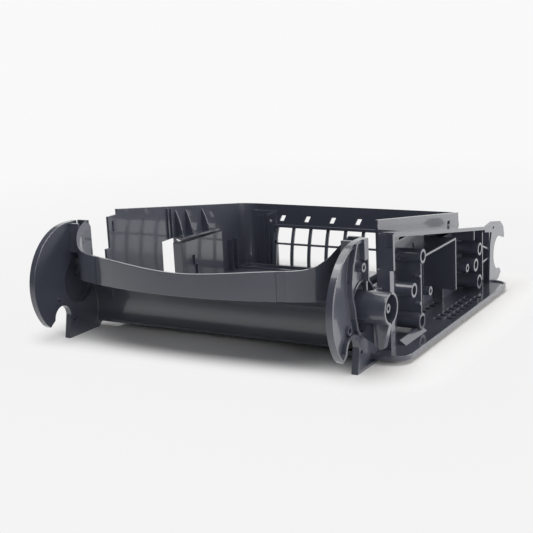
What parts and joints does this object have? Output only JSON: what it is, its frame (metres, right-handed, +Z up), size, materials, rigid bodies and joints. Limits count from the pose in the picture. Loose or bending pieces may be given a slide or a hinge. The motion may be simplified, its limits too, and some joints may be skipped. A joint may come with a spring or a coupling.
{
  "type": "moulded base housing",
  "caption": "Moulded plastic base housing with a deep tray, a bowed front beam, half-moon end plates, an end spindle, screw bosses and a vented rear wall.",
  "frame": {"origin": "centre of the bounding box, on the ground plane under the legs", "axes": "+Z up, -Y towards the bowed beam and the roller, +X towards the spindle and the drive bay"},
  "size_m": [0.389, 0.4517, 0.133],
  "materials": {
    "grey_plastic": "dark slate grey moulded plastic, glossy"
  },
  "bodies": {
    "root": {"chassis_housing": "grey_plastic"}
  },
  "joints": []
}
